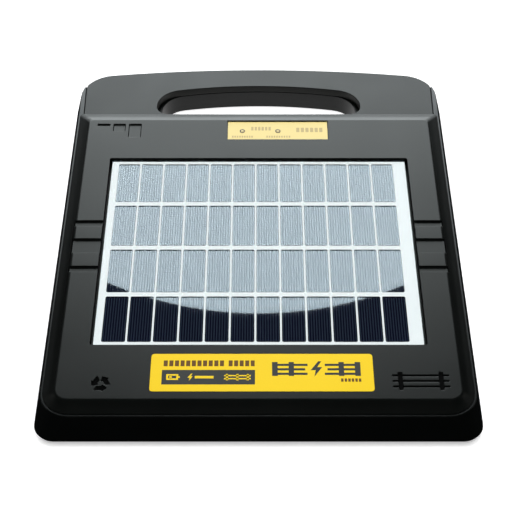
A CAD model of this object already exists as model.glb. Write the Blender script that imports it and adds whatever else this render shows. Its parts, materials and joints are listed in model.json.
# %% [markdown]
# # A solar fence energizer, dressed around its packed frame
# The mechanical model comes in first and stays where it is. Everything that shows is
# then either a packed node with a finish of its own, or a new piece that stands for
# one. All lengths are metres, and the origin is under the middle of the case, on the
# plane that its rubber feet rest on: +X right, +Y towards the handle, +Z out of the panel.

# %% Load the frame
import json
import math

import bmesh
import bpy
import numpy as np
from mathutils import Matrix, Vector


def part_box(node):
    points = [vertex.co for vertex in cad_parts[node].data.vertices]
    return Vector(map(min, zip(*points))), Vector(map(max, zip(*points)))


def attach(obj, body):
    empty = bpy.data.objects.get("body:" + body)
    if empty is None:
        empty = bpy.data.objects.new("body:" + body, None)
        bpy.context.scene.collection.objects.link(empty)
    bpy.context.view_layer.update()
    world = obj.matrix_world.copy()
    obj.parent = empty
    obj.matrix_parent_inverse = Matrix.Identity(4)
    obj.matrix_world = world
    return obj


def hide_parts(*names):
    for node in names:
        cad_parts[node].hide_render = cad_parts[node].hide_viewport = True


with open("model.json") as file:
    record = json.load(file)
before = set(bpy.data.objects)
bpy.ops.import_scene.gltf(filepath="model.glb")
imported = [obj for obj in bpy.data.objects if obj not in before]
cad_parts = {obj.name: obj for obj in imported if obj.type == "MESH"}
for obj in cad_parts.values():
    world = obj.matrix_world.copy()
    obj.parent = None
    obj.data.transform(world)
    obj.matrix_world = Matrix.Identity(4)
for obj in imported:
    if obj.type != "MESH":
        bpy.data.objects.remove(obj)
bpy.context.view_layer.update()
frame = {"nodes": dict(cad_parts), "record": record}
MM = 0.001
SLOT_OF = {part["node"]: part["material_slot"] for part in frame["record"]["subparts"]}

# %% [markdown]
# ## Where things are
# A new piece takes its place from the packed nodes, never from a guess. `span` gives a
# node's lowest and highest corner as arrays, so that the sizes below are worked out
# from the frame itself. Only the height of the front cover's flat face is written down.

# %% Places of the nodes
def span(node):
    """Lowest and highest corner of a packed node, as two arrays in metres."""
    low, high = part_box(node)
    return np.array(low), np.array(high)


FACE_Z = 30.5 * MM
print("panel glass spans", *(np.round(c / MM, 1) for c in span("solar_glass")))

# %% [markdown]
# ## Camera
# The object lies on its back and is looked down on from in front of its foot end, at
# about 47 degrees. A long lens keeps its sides almost parallel. The small shift puts
# the case a little to the right of the middle.

# %% Camera
def aimed(made, place, target):
    """Puts an object at a place and turns its -Z axis to the target."""
    made.location = place
    made.rotation_euler = (Vector(target) - Vector(place)).to_track_quat("-Z", "Y").to_euler()
    bpy.context.scene.collection.objects.link(made)
    return made


lens = bpy.data.cameras.new("camera")
lens.lens, lens.sensor_width, lens.shift_x = 92.85, 36.0, -0.0051
lens.clip_start = 0.05
camera = aimed(bpy.data.objects.new("camera", lens), (0, -0.6553, 0.7), (0, -0.0375, 0.0305))
bpy.context.scene.camera = camera
bpy.context.scene.view_settings.view_transform = "Standard"
print("camera is", round(camera.location.length, 3), "m from the middle of the back")

# %% [markdown]
# ## Light
# One big round softbox stands behind the handle end. The panel mirrors its lower edge
# as a bright arc over the upper cells, and the satin plastic smears it into a slope
# from light at the handle to nearly black at the foot. It only makes reflections. What
# lights the white sheet, the labels and the floor is a second softbox overhead, which in
# turn is kept out of reflections, so that the dark plastic stays dark. Splitting the
# two jobs lets each be set without spoiling the other. Three weak softboxes at the foot
# end and the sides only make reflections too, for views from the other sides.

# %% Lights
def softbox(name, place, target, diameter, radiance, colour, mirrored):
    """A round area light. Its power in watts is radiance times pi times its area."""
    light = bpy.data.lights.new(name, "AREA")
    light.shape, light.size = "DISK", diameter
    light.energy = radiance * math.pi * math.pi * diameter**2 / 4
    light.color = colour
    made = aimed(bpy.data.objects.new(name, light), place, target)
    made.visible_glossy, made.visible_diffuse = mirrored, not mirrored
    return made


MIDDLE, WHITE, FILL_RADIANCE = (0, 0, 0), (1, 1, 1), 1.6
softbox("back_softbox", (0, 1.846, 1.014), (0, -0.655, -0.642), 1.75, 9.5, (0.90, 0.97, 1.0),
        mirrored=True)
for name, place, diameter in (("front_softbox", (0, -2.4, 0.7), 1.2),
                              ("left_softbox", (-2.2, 0.1, 0.6), 1.0),
                              ("right_softbox", (2.2, 0.1, 0.6), 1.0)):
    softbox(name, place, MIDDLE, diameter, FILL_RADIANCE, WHITE, mirrored=True)
softbox("top_softbox", (0, -0.1, 2.0), MIDDLE, 2.4, 4.1, WHITE, mirrored=False)

# %% [markdown]
# ## Finishes as small programs
# A finish is a node tree. Writing node by node is long, so `Wire` wraps one output and
# lets sums, products and comparisons be written as ordinary maths, each adding the Math
# node it needs. Any other node comes from `Finish.node`. Colours are blended with Mix
# nodes, because a Math node would turn them grey.

# %% Wire and Finish
class Wire:
    """One output of a shader node, with the operators that add Math nodes."""

    def __init__(self, finish, socket):
        self.finish, self.socket = finish, socket

    def maths(self, operation, first, second):
        return self.finish.node("ShaderNodeMath", {"operation": operation}, {0: first, 1: second})

    def __add__(self, other):
        return self.maths("ADD", self, other)

    def __sub__(self, other):
        return self.maths("SUBTRACT", self, other)

    def __rsub__(self, other):
        return self.maths("SUBTRACT", other, self)

    def __mul__(self, other):
        return self.maths("MULTIPLY", self, other)

    def __truediv__(self, other):
        return self.maths("DIVIDE", self, other)

    def __mod__(self, other):
        return self.maths("FLOORED_MODULO", self, other)

    def __gt__(self, other):
        return self.maths("GREATER_THAN", self, other)

    def __lt__(self, other):
        return self.maths("LESS_THAN", self, other)

    def __abs__(self):
        return self.maths("ABSOLUTE", self, 0)

    __radd__, __rmul__ = __add__, __mul__


class Finish:
    """A material, or a world, with its node tree, and one method that adds any node to it."""

    def __init__(self, name, kind="materials"):
        self.material = getattr(bpy.data, kind).new(name)
        self.material.use_nodes = True
        self.tree = self.material.node_tree
        self.tree.nodes.clear()
        self.place = self.node("ShaderNodeTexCoord", out="Object")

    def node(self, kind, settings=None, values=None, out=0):
        """Adds a node: its settings first, then numbers or wires on its inputs."""
        made = self.tree.nodes.new(kind)
        for key, value in (settings or {}).items():
            setattr(made, key, value)
        for key, value in (values or {}).items():
            if isinstance(value, Wire):
                self.tree.links.new(value.socket, made.inputs[key])
            else:
                made.inputs[key].default_value = value
        return None if out is None else Wire(self, made.outputs[out])

    def noise(self, scale, detail=3.0, stretch=(1, 1, 1)):
        """Soft random values from 0 to 1; scale is about how many lumps fit in a metre."""
        at = self.node("ShaderNodeMapping", {}, {"Vector": self.place, "Scale": stretch})
        return self.node("ShaderNodeTexNoise", {}, {"Vector": at, "Scale": scale, "Detail": detail})

    def blend(self, factor, first, second):
        """A colour between two, as the factor goes from 0 to 1."""
        return self.node("ShaderNodeMix", {"data_type": "RGBA"},
                         {0: factor, 6: first, 7: second}, out=2)

    def bump(self, height, depth):
        """A normal from a height of 0 to 1 that stands for that depth in metres."""
        return self.node("ShaderNodeBump", {},
                         {"Height": height, "Distance": depth, "Strength": 1.0})

    def show(self, values):
        """Ends the tree in a Principled shader with these values, and gives the material."""
        shader = self.node("ShaderNodeBsdfPrincipled", {}, values)
        self.node("ShaderNodeOutputMaterial", {}, {"Surface": shader}, out=None)
        return self.material


def rgba(*channels):
    """A colour as a socket takes it, with full alpha."""
    return (*channels, 1.0)


print("one finish method set:", [m for m in vars(Finish) if not m.startswith("_")])

# %% [markdown]
# ## The room round the table
# The room is dark, so that steep walls of the case stay black, with one soft glow at the
# horizon behind the handle: it lights the slopes that face away. The lens sees the
# room as pale, which is what a plain studio looks like from a low viewpoint.

# %% Room
GLOW_EDGE = 4.0
GLOW_FROM_Y = 0.75
GLOW_DROP = 0.06


def room():
    """Dark all round, but for a glow where the direction's y is near 1 and its z near 0.

    The glow is (y - GLOW_FROM_Y) times (1 - |z + GLOW_DROP|), each rise made GLOW_EDGE
    times as steep and kept between 0 and 1.
    """
    air = Finish("dark_room", "worlds")
    ahead = air.node("ShaderNodeTexCoord", out="Generated")
    y = air.node("ShaderNodeSeparateXYZ", {}, {0: ahead}, out=1)
    z = air.node("ShaderNodeSeparateXYZ", {}, {0: ahead}, out=2)
    narrow = air.node("ShaderNodeClamp", {}, {0: (y - GLOW_FROM_Y) * GLOW_EDGE})
    low = air.node("ShaderNodeClamp", {}, {0: 1.0 - abs(z + GLOW_DROP) * GLOW_EDGE})
    glow = low * narrow
    colour = air.blend(glow, rgba(0.008, 0.009, 0.010), rgba(5.8, 6.2, 6.3))
    seen = air.node("ShaderNodeLightPath", out="Is Camera Ray")
    shown = air.blend(seen, colour, rgba(0.96, 0.96, 0.96))
    lit = air.node("ShaderNodeBackground", {}, {"Color": shown, "Strength": 1.0})
    air.node("ShaderNodeOutputWorld", {}, {"Surface": lit}, out=None)
    return air.material


bpy.context.scene.world = room()
print("room:", bpy.context.scene.world.name)

# %% [markdown]
# ## Moulded, metal and cast finishes
# Most real parts differ in only a few ways: two close tones that drift into each other,
# a gloss that drifts with them, and a fine grain. One function makes them all from
# those values, and each slot of the record gets its own set.

# %% A drifting, grained finish
GLOSS_DRIFT, GLOSS_GRAIN = 0.10, 0.08


def grained(name, first, second, rough, lumps=45.0, grain=2600.0, depth=6e-6,
            stretch=(1, 1, 1), **shader):
    """Colour drifts from first to second tone; grain of the given depth; rough is the mean."""
    finish = Finish(name)
    drift = finish.noise(lumps)
    fine = finish.noise(grain, 2.0, stretch)
    values = {"Base Color": finish.blend(drift, rgba(*first), rgba(*second)),
              "Roughness": (drift - 0.5) * GLOSS_DRIFT + (fine - 0.5) * GLOSS_GRAIN + rough,
              "Normal": finish.bump(fine, depth)}
    values.update({key.replace("_", " "): value for key, value in shader.items()})
    return finish.show(values)


FINISH = {
    "case_plastic": grained("case_plastic", (0.0016, 0.0020, 0.0018), (0.0030, 0.0036, 0.0033),
                            0.33, lumps=28, grain=3800, depth=3e-6,
                            Specular_IOR_Level=0.155),
    "seal_rubber": grained("seal_rubber", (0.05, 0.052, 0.054), (0.08, 0.083, 0.085), 0.7),
    "screw_steel": grained("screw_steel", (0.50, 0.51, 0.52), (0.66, 0.66, 0.65), 0.28,
                           depth=3e-6, stretch=(1, 1, 0.1), Metallic=1.0),
    "foot_rubber": grained("foot_rubber", (0.010, 0.010, 0.011), (0.020, 0.020, 0.021), 0.75,
                           grain=1600, depth=1.5e-5),
    "insert_brass": grained("insert_brass", (0.62, 0.42, 0.14), (0.76, 0.55, 0.22), 0.30,
                            Metallic=1.0),
    "gasket_foam": grained("gasket_foam", (0.010, 0.010, 0.010), (0.024, 0.024, 0.024), 0.9,
                           grain=900, depth=4e-5),
    "component_black": grained("component_black", (0.012, 0.012, 0.013), (0.022, 0.022, 0.024),
                               0.5),
    "label_yellow": grained("label_yellow", (0.82, 0.56, 0.004), (0.87, 0.61, 0.008), 0.42,
                            lumps=20, grain=2200, depth=2e-6, Specular_IOR_Level=0.1),
    "label_pale": grained("label_pale", (0.80, 0.66, 0.26), (0.84, 0.70, 0.30), 0.42,
                          lumps=30, grain=2200, depth=2e-6, Specular_IOR_Level=0.1),
    "backsheet_white": grained("backsheet_white", (0.74, 0.77, 0.78), (0.79, 0.81, 0.82), 0.6,
                               lumps=20, grain=1800, depth=4e-6, Specular_IOR_Level=0.1),
    "board_green": grained("board_green", (0.010, 0.075, 0.022), (0.018, 0.130, 0.040), 0.35,
                           lumps=220),
    "led_lens": grained("led_lens", (0.50, 0.72, 0.50), (0.62, 0.82, 0.60), 0.2),
    "connector_ivory": grained("connector_ivory", (0.62, 0.58, 0.46), (0.72, 0.68, 0.56), 0.45),
    "capacitor_sleeve": grained("capacitor_sleeve", (0.012, 0.03, 0.09), (0.02, 0.05, 0.14),
                                0.3),
    "winding_copper": grained("winding_copper", (0.42, 0.14, 0.04), (0.58, 0.22, 0.07), 0.3,
                              grain=2600, stretch=(1, 0.05, 1), depth=5e-5, Metallic=1.0),
    "sink_aluminium": grained("sink_aluminium", (0.62, 0.63, 0.65), (0.74, 0.75, 0.76), 0.38,
                              stretch=(1, 1, 0.05), Metallic=1.0),
    "core_ferrite": grained("core_ferrite", (0.030, 0.030, 0.034), (0.055, 0.055, 0.060), 0.6,
                            grain=900, depth=2e-5),
    "bobbin_nylon": grained("bobbin_nylon", (0.60, 0.55, 0.42), (0.70, 0.65, 0.52), 0.5),
    "cell_sleeve": grained("cell_sleeve", (0.02, 0.14, 0.32), (0.03, 0.20, 0.42), 0.3),
    "switch_black": grained("switch_black", (0.008, 0.008, 0.009), (0.014, 0.014, 0.015), 0.35),
    "rocker_red": grained("rocker_red", (0.34, 0.010, 0.008), (0.46, 0.018, 0.014), 0.3),
    "stud_steel": grained("stud_steel", (0.58, 0.59, 0.60), (0.70, 0.70, 0.70), 0.22,
                          stretch=(1, 1, 8), grain=1500, depth=2e-5, Metallic=1.0),
    "knob_red": grained("knob_red", (0.38, 0.010, 0.008), (0.50, 0.018, 0.012), 0.38,
                        grain=3000),
    "knob_green": grained("knob_green", (0.010, 0.11, 0.030), (0.016, 0.17, 0.050), 0.38,
                          grain=3000),
    "lead_red": grained("lead_red", (0.34, 0.012, 0.010), (0.44, 0.020, 0.016), 0.45),
    "lead_green": grained("lead_green", (0.012, 0.11, 0.035), (0.020, 0.16, 0.050), 0.45),
    "lead_black": grained("lead_black", (0.012, 0.012, 0.012), (0.022, 0.022, 0.022), 0.45),
}
print(len(FINISH), "grained finishes")

# %% [markdown]
# ## Glass, silicon and the front cover
# The panel's glass is a flat, nearly perfect mirror of a few percent over something that
# lets all other light through. A refracting glass would need light to find its way in
# and out, which is slow and dark, so the pane mixes a weak mirror into a clear shader by
# Fresnel. Its lower face must not mirror, or the ray that is already inside would be
# turned back, so that face gets the clear shader alone.
#
# A solar cell is nearly black blue under a polished coating, and its printed silver
# fingers run from foot to handle. They are a pattern in the finish: within each cell,
# the distance to the nearest of the evenly spaced lines decides between two colours.
# The strip at each cell's handle end is dull and black, where the cut edge shows.
#
# The front cover is the case plastic with two grains: its face is satin, and whatever
# lies lower, the handle plate and the rim, is rougher and so mirrors the softbox less.

# %% Pane and clear finishes
COLD_MIRROR = rgba(0.80, 0.91, 1.0)
POLISH, POLISH_DRIFT = 0.012, 0.006
WEAK_COATED_IOR = 1.09


def pane_finish():
    """A few percent of mirror by Fresnel over a clear shader; lamps shine straight in."""
    finish = Finish("panel_glass")
    smear = finish.noise(14.0, 2.0)
    mirror = finish.node("ShaderNodeBsdfGlossy", {},
                         {"Color": COLD_MIRROR, "Roughness": smear * POLISH_DRIFT + POLISH})
    clear = finish.node("ShaderNodeBsdfTransparent", {}, {"Color": rgba(0.97, 0.985, 0.98)})
    share = finish.node("ShaderNodeFresnel", {}, {"IOR": WEAK_COATED_IOR})
    both = finish.node("ShaderNodeMixShader", {}, {0: share, 1: clear, 2: mirror})
    lamp_ray = finish.node("ShaderNodeLightPath", out="Is Shadow Ray")
    open_to_lamps = finish.node("ShaderNodeMixShader", {}, {0: lamp_ray, 1: both, 2: clear})
    finish.node("ShaderNodeOutputMaterial", {}, {"Surface": open_to_lamps}, out=None)
    return finish.material


def clear_finish():
    """Only lets light through, with a trace of tint."""
    finish = Finish("panel_glass_under")
    clear = finish.node("ShaderNodeBsdfTransparent", {}, {"Color": rgba(0.99, 0.995, 0.995)})
    finish.node("ShaderNodeOutputMaterial", {}, {"Surface": clear}, out=None)
    return finish.material


FINISH["panel_glass"], PANE_UNDER = pane_finish(), clear_finish()
FINISH["guide_clear"] = grained("guide_clear", (0.80, 0.76, 0.62), (0.88, 0.84, 0.70), 0.12,
                                grain=1500, depth=2e-6)
print("pane: Fresnel of", WEAK_COATED_IOR, "over a clear shader, clear alone underneath")

# %% Cover finish
FACE_BAND = 2.0 * MM
BLEND_PER_METRE = 900.0
GRIP_ROUGH = 0.135


def cover_finish():
    """Satin face. From FACE_BAND below it, roughness grows by GRIP_ROUGH in a millimetre or so."""
    finish = Finish("cover_plastic")
    height = finish.node("ShaderNodeSeparateXYZ", {}, {0: finish.place}, out=2)
    below = finish.node("ShaderNodeClamp", {},
                        {0: (FACE_Z - FACE_BAND - height) * BLEND_PER_METRE})
    drift, fine = finish.noise(28.0), finish.noise(3800.0, 2.0)
    return finish.show({
        "Base Color": finish.blend(drift, rgba(0.0016, 0.0020, 0.0018),
                                   rgba(0.0030, 0.0036, 0.0033)),
        "Roughness": (drift - 0.5) * GLOSS_GRAIN + below * GRIP_ROUGH + 0.33,
        "Specular IOR Level": 0.145, "Specular Tint": rgba(0.99, 1.0, 0.955),
        "Normal": finish.bump(fine, 3e-6)})


FINISH["cover_plastic"] = cover_finish()
print("front cover: satin down to", round((FACE_Z - FACE_BAND) / MM, 1), "mm, rougher below")

# %% Silicon finish
CELL_COLS, CELL_ROWS = 12, 4
COL_GAP, ROW_GAP = 1.3 * MM, 3.9 * MM
FINGERS, FINGER_SHARE = 9, 0.22
TOP_EDGE = 1.2 * MM
cells_low, cells_high = span("solar_cells")
CELL_PITCH = (cells_high[0] - cells_low[0] + COL_GAP) / CELL_COLS
ROW_PITCH = (cells_high[1] - cells_low[1] + ROW_GAP) / CELL_ROWS
CELL_W, CELL_L = CELL_PITCH - COL_GAP, ROW_PITCH - ROW_GAP


def silicon_finish():
    """Polished silicon with printed fingers, and a dull strip along each cell's handle end.

    A point is on a finger where its place across the cell, in finger pitches, has a
    fraction within FINGER_SHARE of one half.
    """
    finish = Finish("cell_silicon")
    x = finish.node("ShaderNodeSeparateXYZ", {}, {0: finish.place}, out=0)
    y = finish.node("ShaderNodeSeparateXYZ", {}, {0: finish.place}, out=1)
    across = (x - float(cells_low[0])) % CELL_PITCH / CELL_W * FINGERS
    line = abs(across % 1.0 - 0.5) < FINGER_SHARE
    top_edge = (y - float(cells_low[1])) % ROW_PITCH > CELL_L - TOP_EDGE
    drift, fine = finish.noise(30.0), finish.noise(900.0, 2.0)
    bare = finish.blend(drift, rgba(0.0020, 0.0026, 0.0100), rgba(0.0038, 0.0042, 0.0160))
    silver = finish.blend(fine, rgba(0.012, 0.018, 0.028), rgba(0.020, 0.028, 0.040))
    polished = finish.node("ShaderNodeBsdfPrincipled", {}, {
        "Base Color": finish.blend(line, bare, silver), "Roughness": fine * POLISH_DRIFT + POLISH,
        "Coat Weight": line * 0.35, "Coat Roughness": 0.03, "Specular IOR Level": 0.5,
        "Specular Tint": COLD_MIRROR})
    dull = finish.node("ShaderNodeBsdfPrincipled", {}, {
        "Base Color": rgba(0.002, 0.002, 0.004), "Roughness": drift * 0.1 + 0.8,
        "Specular IOR Level": 0.0})
    either = finish.node("ShaderNodeMixShader", {}, {0: top_edge, 1: polished, 2: dull})
    finish.node("ShaderNodeOutputMaterial", {}, {"Surface": either}, out=None)
    return finish.material


FINISH["cell_silicon"] = silicon_finish()
print(f"{CELL_COLS * CELL_ROWS} cells of {CELL_W / MM:.1f} x {CELL_L / MM:.1f} mm,",
      FINGERS, "fingers each")

# %% [markdown]
# ## Printing inks
# The labels carry flat ink. Real ink on a polyester label is a little duller than the
# film round it and never quite even, so the inks are grained finishes too. So are the
# pale window of each status light and the black in the floors of the sunk marks.

# %% Inks
INK = {name: grained(name, first, second, rough, depth=2e-6, Specular_IOR_Level=level)
       for name, first, second, rough, level in (
           ("ink_grey", (0.026, 0.029, 0.026), (0.036, 0.039, 0.036), 0.5, 0.1),
           ("ink_olive", (0.10, 0.048, 0.006), (0.14, 0.068, 0.010), 0.5, 0.1),
           ("ink_faint", (0.50, 0.40, 0.18), (0.56, 0.45, 0.22), 0.5, 0.1),
           ("ink_ring", (0.11, 0.10, 0.08), (0.15, 0.13, 0.10), 0.5, 0.1),
           ("lens_pale", (0.62, 0.52, 0.26), (0.70, 0.59, 0.31), 0.35, 0.12),
           ("ink_black", (0.0012, 0.0012, 0.0012), (0.0022, 0.0022, 0.0022), 0.8, 0.02))}
print("inks:", sorted(INK))

# %% [markdown]
# ## Finishes on the packed nodes
# Every packed node that stays gets the finish of its slot in the record. The ones that
# a new piece replaces get it as well, which costs nothing.

# %% Dress the packed nodes
for node, made in frame["nodes"].items():
    for k in range(max(1, len(made.material_slots))):
        if k >= len(made.material_slots):
            made.data.materials.append(None)
        made.material_slots[k].material = FINISH[SLOT_OF[node]]
print("dressed", len(frame["nodes"]), "nodes")

# %% [markdown]
# ## From numbers to a mesh
# A new piece is a stack of closed rings: `rings[i, j]` is point j of ring i. Quads join
# each ring to the next, and a fan to its middle closes the first and the last. Rings
# that run counter-clockwise, seen from above, and rise give faces that point outwards.
# A whole set of like pieces, such as 48 cells, is one array with one more axis.

# %% Rings to mesh
def ring_mesh(name, rings):
    """Joins K stacks of M rings of N points, an array (K, M, N, 3), into one mesh."""
    rings = np.asarray(rings, float)
    if rings.ndim == 3:
        rings = rings[None]
    stacks, levels, around = rings.shape[:3]
    body = stacks * levels * around
    grid = np.arange(body).reshape(stacks, levels, around)
    turned = np.roll(grid, -1, axis=2)
    quads = np.stack([grid[:, :-1], turned[:, :-1], turned[:, 1:], grid[:, 1:]], -1).reshape(-1, 4)
    low = body + np.arange(stacks)[:, None]
    high = low + stacks
    fan_low = np.stack([np.broadcast_to(low, (stacks, around)), turned[:, 0], grid[:, 0]], -1)
    fan_high = np.stack([np.broadcast_to(high, (stacks, around)), grid[:, -1], turned[:, -1]], -1)
    fans = np.concatenate([fan_low.reshape(-1, 3), fan_high.reshape(-1, 3)])
    points = np.concatenate([rings.reshape(-1, 3), rings[:, 0].mean(1), rings[:, -1].mean(1)])
    return filled_mesh(name, points, quads, fans)


def filled_mesh(name, points, quads, fans):
    """Puts points, four-sided faces and three-sided faces into a new mesh."""
    mesh = bpy.data.meshes.new(name)
    corners = np.concatenate([quads.ravel(), fans.ravel()]).astype(np.int32)
    starts = np.concatenate([np.arange(len(quads)) * 4,
                             quads.size + np.arange(len(fans)) * 3]).astype(np.int32)
    mesh.vertices.add(len(points))
    mesh.vertices.foreach_set("co", points.astype(np.float32).ravel())
    mesh.loops.add(len(corners))
    mesh.loops.foreach_set("vertex_index", corners)
    mesh.polygons.add(len(starts))
    mesh.polygons.foreach_set("loop_start", starts)
    mesh.update(calc_edges=True)
    mesh.validate()
    return mesh


def placed(mesh, finish, slot, *nodes, body="housing", smooth=True):
    """Links a mesh as a piece: its finish, its slot, the body it rides on, what it replaces."""
    if smooth:
        mesh.shade_smooth()
        mesh.set_sharp_from_angle(angle=math.radians(35))
    mesh.materials.append(finish)
    made = bpy.data.objects.new(mesh.name, mesh)
    bpy.context.scene.collection.objects.link(made)
    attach(made, body)
    if nodes:
        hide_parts(*nodes)
    print(f"{made.name}: {len(mesh.polygons)} faces on {body}")
    return made


# %% [markdown]
# ## Slabs and turned shapes
# Two ring makers cover most of the small pieces. A slab is a rectangle with rounded
# corners whose rim is rounded over; a turned shape is a profile swept round an axis.

# %% Ring makers
CORNER_STEPS = 6
LAST_INSET = 1.3


def outline(width, length, corner):
    """A rounded rectangle: each quarter's arc centre plus radius times (cos, sin)."""
    quarter = np.linspace(0, math.pi / 2, CORNER_STEPS)
    turn = quarter[None] + np.arange(4)[:, None] * math.pi / 2
    sign = np.array([[1, 1], [-1, 1], [-1, -1], [1, -1]], float)
    half = np.array([width / 2, length / 2]) - corner
    arcs = sign[:, None] * half + corner * np.stack([np.cos(turn), np.sin(turn)], -1)
    return arcs.reshape(-1, 2)


def slab(low, high, corner, edge, steps=4):
    """A box from low to high: sides straight up, then in by edge*(1-cos) and up by edge*sin.

    One more ring, LAST_INSET edges in, keeps the round's shading off the flat top.
    """
    low, high = np.asarray(low, float), np.asarray(high, float)
    lean = np.linspace(0, math.pi / 2, steps)
    inset = np.concatenate([[0.0], edge * (1 - np.cos(lean)), [edge * LAST_INSET]])
    level = np.concatenate([[low[2]], high[2] - edge + edge * np.sin(lean), [high[2]]])
    size, middle = high - low, (high + low) / 2
    rings = []
    for d, z in zip(inset, level):
        flat = outline(size[0] - 2 * d, size[1] - 2 * d, max(corner - d, 0.01 * MM))
        rings.append(np.column_stack([flat + middle[:2], np.full(len(flat), z)]))
    return np.array(rings)


def turned(profile, centre, around=48):
    """A profile of (radius, height) pairs turned about a vertical axis through centre."""
    profile = np.asarray(profile, float)
    angle = np.arange(around) * 2 * math.pi / around
    circle = np.stack([np.cos(angle), np.sin(angle)], -1)
    flat = np.asarray(centre) + profile[:, :1, None] * circle[None]
    return np.concatenate([flat, np.broadcast_to(profile[:, 1:, None],
                                                 (len(profile), around, 1))], -1)


print("a slab of 24 points round:", slab((0, 0, 0), (1, 1, 1), 0.1, 0.05).shape)

# %% [markdown]
# ## The solar panel
# The pane is one slab with its rim just broken, and it lies over the cells. The cells
# are thin tiles with small rounded corners, all 48 in one mesh, lying on the white
# sheet that shows between them as the light grid.

# %% Pane and cells
glass_low, glass_high = span("solar_glass")
pane_mesh = ring_mesh("panel_pane", slab(glass_low, glass_high, 1.2 * MM, 0.35 * MM))
pane = placed(pane_mesh, FINISH["panel_glass"], "panel_glass", "solar_glass")
pane_mesh.materials.append(PANE_UNDER)
facing = np.zeros(len(pane_mesh.polygons) * 3)
pane_mesh.polygons.foreach_get("normal", facing)
pane_mesh.polygons.foreach_set("material_index", (facing[2::3] < -0.5).astype(np.int32))

corner_x = cells_low[0] + np.arange(CELL_COLS) * CELL_PITCH
corner_y = cells_low[1] + np.arange(CELL_ROWS) * ROW_PITCH
tile = slab((0, 0, cells_low[2]), (CELL_W, CELL_L, cells_high[2]), 1.2 * MM, 0.08 * MM, 2)
shifts = np.stack(np.meshgrid(corner_x, corner_y, [0.0], indexing="ij"), -1).reshape(-1, 1, 1, 3)
placed(ring_mesh("photovoltaic_cells", tile[None] + shifts), FINISH["cell_silicon"],
       "cell_silicon", "solar_cells")

# %% [markdown]
# ## Softening the moulded parts
# A real moulding has no sharp edge: each is rounded by a few tenths of a millimetre,
# and that thin round catches the light. The packed shells have the right shape but
# sharp edges, so a copy of each is merged, its flat triangles are joined back into
# whole faces, and a Bevel modifier rounds every edge that turns by more than a set
# angle and has room for it. Edges without room stay sharp. The modifiers' result is
# then kept as the piece's own mesh, and on its large flat faces every corner is made
# to face squarely, because one slanted corner would smear a shadow over the whole
# face. The packed node itself stays as it was and is only hidden.

# %% Squared corners
LARGE_FLAT = 400 * MM * MM


def squared(made):
    """Keeps the modifiers' result as the mesh, with the corners of large faces made square."""
    graph = bpy.context.evaluated_depsgraph_get()
    final = bpy.data.meshes.new_from_object(made.evaluated_get(graph))
    normals = np.empty(len(final.loops) * 3)
    final.corner_normals.foreach_get("vector", normals)
    normals = normals.reshape(-1, 3)
    for face in final.polygons:
        if face.area > LARGE_FLAT:
            normals[list(face.loop_indices)] = face.normal
    final.normals_split_custom_set(normals)
    made.modifiers.clear()
    made.data = final


print("faces over", round(LARGE_FLAT / MM / MM), "square millimetres count as large")

# %% Softened copies
MERGE_WITHIN = 3e-6
FLAT_WITHIN, SHARP_FROM = math.radians(0.6), math.radians(28.0)
ROOM_FOR_ROUND = 1.3


def softened(name, node, width, body="housing", finish=None):
    """A merged copy of a packed node, its edges rounded where there is room for the width."""
    work = bmesh.new()
    work.from_mesh(frame["nodes"][node].data)
    bmesh.ops.remove_doubles(work, verts=work.verts, dist=MERGE_WITHIN)
    bmesh.ops.dissolve_limit(work, angle_limit=FLAT_WITHIN, verts=work.verts,
                             edges=work.edges, use_dissolve_boundaries=False)
    weight = work.edges.layers.float.new("bevel_weight_edge")
    sharp = {e for e in work.edges if e.is_manifold
             and abs(e.calc_face_angle_signed(0.0)) > SHARP_FROM}
    for edge in sharp:
        near = min(e.calc_length() for v in edge.verts for e in v.link_edges)
        edge[weight] = 1.0 if near > ROOM_FOR_ROUND * width else 0.0
        edge.smooth = edge[weight] > 0.0
    rounded = sum(edge[weight] for edge in sharp)
    for face in work.faces:
        face.smooth = True
    mesh = bpy.data.meshes.new(name)
    work.to_mesh(mesh)
    work.free()
    look = FINISH[finish or SLOT_OF[node]]
    made = placed(mesh, look, SLOT_OF[node], node, body=body, smooth=False)
    print(f"  {rounded:.0f} of {len(sharp)} sharp edges rounded")
    bevel = made.modifiers.new("rounded_edges", "BEVEL")
    bevel.width, bevel.segments = width, 3
    bevel.limit_method, bevel.use_clamp_overlap = "WEIGHT", False
    bevel.miter_outer = "MITER_ARC"
    even = made.modifiers.new("flat_faces_stay_flat", "WEIGHTED_NORMAL")
    even.mode, even.weight, even.keep_sharp = "FACE_AREA", 100, True
    squared(made)


softened("cover_moulding", "front_cover", 0.45 * MM, finish="cover_plastic")
softened("rear_moulding", "rear_shell", 0.45 * MM)
softened("battery_hatch", "battery_door", 0.3 * MM)
softened("fence_terminal_knob", "fence_knob", 0.4 * MM, body="fence_knob")
softened("earth_terminal_knob", "earth_knob", 0.4 * MM, body="earth_knob")
softened("rocker_cap", "power_rocker", 0.3 * MM, body="rocker")
softened("switch_bezel", "switch_body", 0.3 * MM)
softened("case_feet", "rubber_feet", 0.6 * MM)

# %% [markdown]
# ## Labels and their printing
# Each label is a thin slab let into its pocket, and its ink lies on it as plates a few
# hundredths of a millimetre thick. The real labels carry names and model figures. None
# of that is drawn: plain blocks stand for the lines of type, and pictures of a battery,
# a spark and a fence say what the device does. Flat plates of black close the sunk
# marks of the cover in the same way. All the outlines here are in millimetres.

# %% Label film
label_low, label_high = span("main_label")
FILM_TOP = label_high[2] - 0.06 * MM
placed(ring_mesh("main_label_film", slab(label_low, (*label_high[:2], FILM_TOP), 2.2 * MM,
                                         0.12 * MM)),
       FINISH["label_yellow"], "label_yellow", "main_label")
status_low, status_high = span("status_label")
STATUS_TOP = status_high[2]
placed(ring_mesh("status_label_film", slab(status_low, status_high, 0.6 * MM, 0.1 * MM)),
       FINISH["label_pale"], "label_pale", "status_label")


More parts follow.
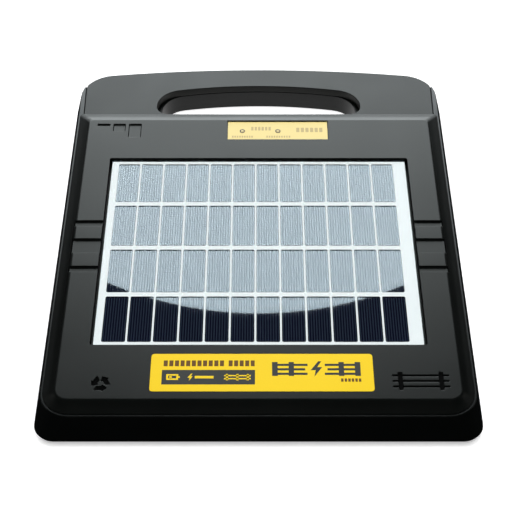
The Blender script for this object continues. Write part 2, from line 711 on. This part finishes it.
# %% Flat shapes for the ink
def boxes(*spans):
    """Rectangles as outlines, from (x0, x1, y0, y1) in millimetres."""
    s = np.array(spans, float)
    return [np.array([[a, c], [b, c], [b, d], [a, d]]) for a, b, c, d in s]


def spark(x, y, height):
    """A zigzag bolt of the given height about a point, as one outline."""
    shape = np.array([[0.10, 0.5], [-0.30, -0.08], [-0.04, -0.08], [-0.12, -0.5], [0.30, 0.12],
                      [0.04, 0.12], [0.26, 0.5]])
    return [shape * height + (x, y)]


def printed(name, shapes, base, top, ink):
    """Prisms on flat outlines: one face below, one above and a wall all round."""
    points, faces = [], []
    for shape in shapes:
        flat, n, at = np.asarray(shape) * MM, len(shape), len(points)
        points += np.column_stack([flat, np.full(n, base)]).tolist()
        points += np.column_stack([flat, np.full(n, top)]).tolist()
        ring = np.arange(n)
        beyond = np.roll(ring, -1)
        faces += [(at + ring[::-1]).tolist(), (at + n + ring).tolist()]
        faces += (at + np.stack([ring, beyond, beyond + n, ring + n], -1)).tolist()
    mesh = bpy.data.meshes.new(name)
    mesh.from_pydata(points, [], faces)
    return placed(mesh, INK[ink], "label_yellow", smooth=False)


print("a spark has", len(spark(0, 0, 1)[0]), "corners")

# %% Ink of the main label
INK_BASE, INK_TOP = FILM_TOP - 0.02 * MM, label_high[2] - 0.03 * MM


def type_blocks(x0, x1, y0, y1, letters, gap):
    """Evenly set blocks that stand for a word of type, as (x0, x1, y0, y1) each."""
    pitch = (x1 - x0 + gap) / letters
    left = x0 + np.arange(letters) * pitch
    return np.stack([left, left + pitch - gap, np.full(letters, y0), np.full(letters, y1)],
                    -1).tolist()


printed("label_type_line", boxes(*type_blocks(-60.9, -22.2, -133.6, -128.9, 11, 1.0),
                                 *type_blocks(-19.2, -2.5, -133.6, -128.9, 5, 1.0)),
        INK_BASE, INK_TOP, "ink_olive")
printed("label_fence_mark",
        boxes((8.6, 12.2, -141.4, -130.2), (19.2, 22.6, -141.4, -130.2),
              (51.2, 54.6, -141.4, -130.2), (61.6, 65.2, -141.4, -130.2),
              (12.2, 19.2, -133.4, -131.6), (12.2, 19.2, -137.0, -135.2),
              (12.2, 19.2, -140.6, -138.8),
              (54.6, 61.6, -133.4, -131.6), (54.6, 61.6, -137.0, -135.2),
              (54.6, 61.6, -140.6, -138.8),
              (22.6, 31.4, -133.4, -131.6), (22.6, 29.8, -137.0, -135.2),
              (22.6, 31.2, -140.6, -138.8),
              (42.4, 51.2, -133.4, -131.6), (44.0, 51.2, -137.0, -135.2),
              (42.2, 51.2, -140.6, -138.8)) + spark(37.0, -135.8, 12.4),
        INK_BASE, INK_TOP, "ink_grey")
printed("label_small_line", boxes(*type_blocks(52.4, 65.2, -146.0, -143.4, 6, 0.7)),
        INK_BASE, INK_TOP, "ink_olive")
printed("label_figure_panel", boxes((-61.7, -2.3, -148.2, -136.6)), INK_BASE, INK_TOP,
        "ink_grey")

# %% Pictures on the dark panel of the main label
picture = printed("label_pictures",
                  boxes((-58.8, -51.2, -144.6, -143.4), (-58.8, -51.2, -141.2, -140.0),
                        (-58.8, -57.6, -143.4, -141.2), (-52.4, -51.2, -143.4, -141.2),
                        (-56.9, -55.2, -142.9, -141.7),
                        (-51.2, -50.2, -143.0, -141.6),
                        (-40.6, -28.6, -143.4, -141.4),
                        (-20.8, -19.4, -144.9, -139.9), (-14.2, -12.8, -144.9, -139.9),
                        (-7.6, -6.2, -144.9, -139.9), (-22.0, -5.0, -144.1, -143.1),
                        (-22.0, -5.0, -141.7, -140.7)) + spark(-43.6, -142.4, 5.6),
                  INK_TOP - 0.01 * MM, label_high[2] - 0.01 * MM, "ink_grey")
picture.data.materials[0] = FINISH["label_yellow"]

# %% Black floors of the sunk marks
MARK_DEPTH, ARROWS_AT = 1.1 * MM, (-100.3, -147.4)
MARK_FLOOR = FACE_Z - MARK_DEPTH
arrow = np.array([[-3.9, -5.1], [1.1, -5.1], [1.1, -6.3], [4.3, -3.6], [1.1, -1.0], [1.1, -2.2],
                  [-2.3, -2.2]])
spins = np.radians([0, 120, 240])
turns = np.stack([np.cos(spins), -np.sin(spins), np.sin(spins), np.cos(spins)], -1)
arrows = [arrow @ turn.reshape(2, 2).T + ARROWS_AT for turn in turns]
wires = [(x0, x1, y, y + 1.2) for y in (-150.4, -146.0, -141.6)
         for x0, x1 in ((85.2, 88.9), (91.5, 114.9), (117.5, 121.2))]
printed("sunk_mark_floors",
        arrows + boxes((88.9, 91.5, -152.4, -138.4), (114.9, 117.5, -152.4, -138.4), *wires),
        MARK_FLOOR - 0.02 * MM, MARK_FLOOR + 0.05 * MM, "ink_black")

# %% Ink and light rings of the status label
FAINT_BASE, FAINT_TOP = STATUS_TOP - 0.02 * MM, STATUS_TOP + 0.03 * MM
printed("status_type_lines",
        boxes(*type_blocks(-5.6, 9.2, 93.0, 97.0, 6, 0.9),
              *type_blocks(28.5, 48.3, 91.2, 96.0, 6, 1.1),
              *type_blocks(-20.0, -4.4, 85.0, 87.0, 9, 0.7),
              *type_blocks(5.8, 23.8, 85.0, 87.0, 10, 0.7)),
        FAINT_BASE, FAINT_TOP, "ink_faint")

guide_low, guide_high = span("light_guides")
led_y = (guide_low[1] + guide_high[1]) / 2
flange = (guide_high[1] - guide_low[1]) / 2
led_x = (guide_low[0] + flange, guide_high[0] - flange)
lens_profile = np.array([[1.25, 0.0], [1.25, 0.45], [1.1, 0.62], [0.7, 0.74], [0.3, 0.78]]) * MM
lens_profile[:, 1] += STATUS_TOP - 0.3 * MM
ring_profile = np.array([[1.25, 0.0], [1.25, 0.42], [1.40, 0.52], [1.85, 0.52], [2.0, 0.42],
                         [2.0, 0.0]]) * MM
ring_profile[:, 1] += STATUS_TOP - 0.25 * MM


def bezel(profile, centre, around=40):
    """A closed hoop: the profile turned about the axis, its last ring joined to its first."""
    rings = turned(profile[::-1], centre, around)
    mesh_points = rings.reshape(-1, 3)
    grid = np.arange(len(mesh_points)).reshape(len(profile), around)
    down, along = np.roll(grid, -1, 0), np.roll(grid, -1, 1)
    quads = np.stack([grid, down, np.roll(down, -1, 1), along], -1).reshape(-1, 4)
    return mesh_points, quads


lenses = ring_mesh("status_lenses", np.stack([turned(lens_profile, (x, led_y)) for x in led_x]))
placed(lenses, INK["lens_pale"], "guide_clear", "light_guides")
hoops = [bezel(ring_profile, (x, led_y)) for x in led_x]
hoop_points = np.concatenate([p for p, _ in hoops])
hoop_quads = np.concatenate([q + k * len(hoops[0][0]) for k, (_, q) in enumerate(hoops)])
placed(filled_mesh("status_light_rings", hoop_points, hoop_quads, np.zeros((0, 3), int)),
       INK["ink_ring"], "component_black")

# %% [markdown]
# ## Floor
# The floor is plain and pale: a white acrylic table, lit a little from below. It is left
# out of reflections, as a white table would otherwise shine in the case's steep front
# wall. A small white card lies under the hand slot, and that one does show in the
# slot's walls.

# %% Floor and card
def flat_stage(name, low, high, level, finish):
    """A level rectangle that isn't part of the object."""
    (x0, y0), (x1, y1) = low, high
    corners = np.array([[x0, y0], [x1, y0], [x1, y1], [x0, y1]])
    mesh = filled_mesh(name, np.column_stack([corners, np.full(4, level)]),
                       np.array([[0, 1, 2, 3]]), np.zeros((0, 3), int))
    mesh.materials.append(finish)
    made = bpy.data.objects.new(name, mesh)
    bpy.context.scene.collection.objects.link(made)
    return made


def glowing(name, first, second, rough, strength):
    """A pale grained finish that also gives off a little white light."""
    return grained(name, first, second, rough, lumps=2, grain=300, depth=1e-5,
                   Specular_IOR_Level=0.1, Emission_Color=rgba(1, 1, 1),
                   Emission_Strength=strength)


PALE = ((0.88, 0.88, 0.88), (0.91, 0.91, 0.91))
table = flat_stage("table", (-9, -9), (9, 9), -0.2 * MM,
                   glowing("table_acrylic", *PALE, rough=0.85, strength=0.5))
table.visible_glossy = table.visible_diffuse = False
card = flat_stage("slot_card", (-0.09, 0.105), (0.09, 0.165), -0.1 * MM,
                  glowing("card_white", *PALE, rough=0.8, strength=0.9))
card.visible_diffuse = False
print("floor:", table.name, "and", card.name)

# %% [markdown]
# ## Check the size and finish
# The visual model has to stay inside the packed model's box.
